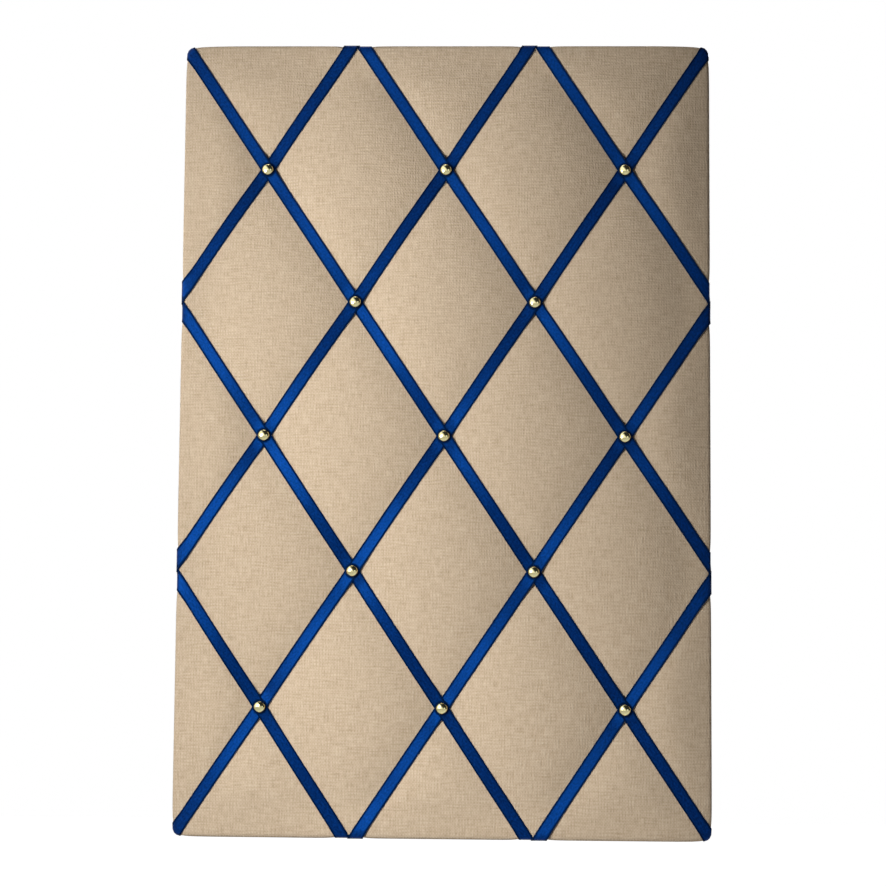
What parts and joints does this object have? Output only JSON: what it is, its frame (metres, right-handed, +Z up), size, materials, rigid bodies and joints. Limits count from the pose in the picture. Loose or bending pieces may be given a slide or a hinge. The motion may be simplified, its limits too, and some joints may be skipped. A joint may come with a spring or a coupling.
{
  "type": "french memo board",
  "caption": "Padded linen memo board with an interlaced lattice of satin ribbon held by brass dome nails, and two swinging rings on the back to hang it by.",
  "frame": {"origin": "middle of the backing sheet's rear face, which goes to the wall", "axes": "+Z up along the board's height, +Y out of the back towards the wall, +X to the right as seen from the front"},
  "size_m": [0.4056, 0.0345, 0.6056],
  "materials": {
    "linen": "plain-woven natural linen look with fine slubs",
    "wadding": "white polyester wadding",
    "softboard": "wood-fibre softboard",
    "satin": "royal blue satin ribbon with a soft sheen",
    "brass": "polished brass plate",
    "staple_wire": "galvanised wire",
    "hardboard": "brown hardboard, smooth side out",
    "plated_steel": "bright nickel plate"
  },
  "bodies": {
    "board": {"panel": "softboard", "wadding": "wadding", "fabric_cover": "linen", "ribbon_fall_1": "satin", "ribbon_fall_2": "satin", "ribbon_fall_3": "satin", "ribbon_fall_4": "satin", "ribbon_fall_5": "satin", "ribbon_rise_1": "satin", "ribbon_rise_2": "satin", "ribbon_rise_3": "satin", "ribbon_rise_4": "satin", "ribbon_rise_5": "satin", "dome_nail_1_1": "brass", "dome_nail_1_2": "brass", "dome_nail_1_3": "brass", "dome_nail_2_1": "brass", "dome_nail_2_2": "brass", "dome_nail_3_1": "brass", "dome_nail_3_2": "brass", "dome_nail_3_3": "brass", "dome_nail_4_1": "brass", "dome_nail_4_2": "brass", "dome_nail_5_1": "brass", "dome_nail_5_2": "brass", "dome_nail_5_3": "brass", "tail_staple_fall_1_lower": "staple_wire", "tail_staple_fall_1_upper": "staple_wire", "tail_staple_fall_2_lower": "staple_wire", "tail_staple_fall_2_upper": "staple_wire", "tail_staple_fall_3_lower": "staple_wire", "tail_staple_fall_3_upper": "staple_wire", "tail_staple_fall_4_lower": "staple_wire", "tail_staple_fall_4_upper": "staple_wire", "tail_staple_fall_5_lower": "staple_wire", "tail_staple_fall_5_upper": "staple_wire", "tail_staple_rise_1_lower": "staple_wire", "tail_staple_rise_1_upper": "staple_wire", "tail_staple_rise_2_lower": "staple_wire", "tail_staple_rise_2_upper": "staple_wire", "tail_staple_rise_3_lower": "staple_wire", "tail_staple_rise_3_upper": "staple_wire", "tail_staple_rise_4_lower": "staple_wire", "tail_staple_rise_4_upper": "staple_wire", "tail_staple_rise_5_lower": "staple_wire", "tail_staple_rise_5_upper": "staple_wire", "backing_sheet": "hardboard", "hanger_strap_left": "plated_steel", "hanger_strap_right": "plated_steel", "hanger_screw_left": "plated_steel", "hanger_screw_right": "plated_steel"},
    "left_ring": {"hanger_ring_left": "plated_steel"},
    "right_ring": {"hanger_ring_right": "plated_steel"}
  },
  "joints": [
    {"name": "left_ring_swing", "type": "hinge", "parent": "board", "child": "left_ring", "pos_m": [-0.11, 0.00285, 0.23], "axis": [1, 0, 0], "range_deg": [0, 180]},
    {"name": "right_ring_swing", "type": "hinge", "parent": "board", "child": "right_ring", "pos_m": [0.11, 0.00285, 0.23], "axis": [1, 0, 0], "range_deg": [0, 180]}
  ]
}
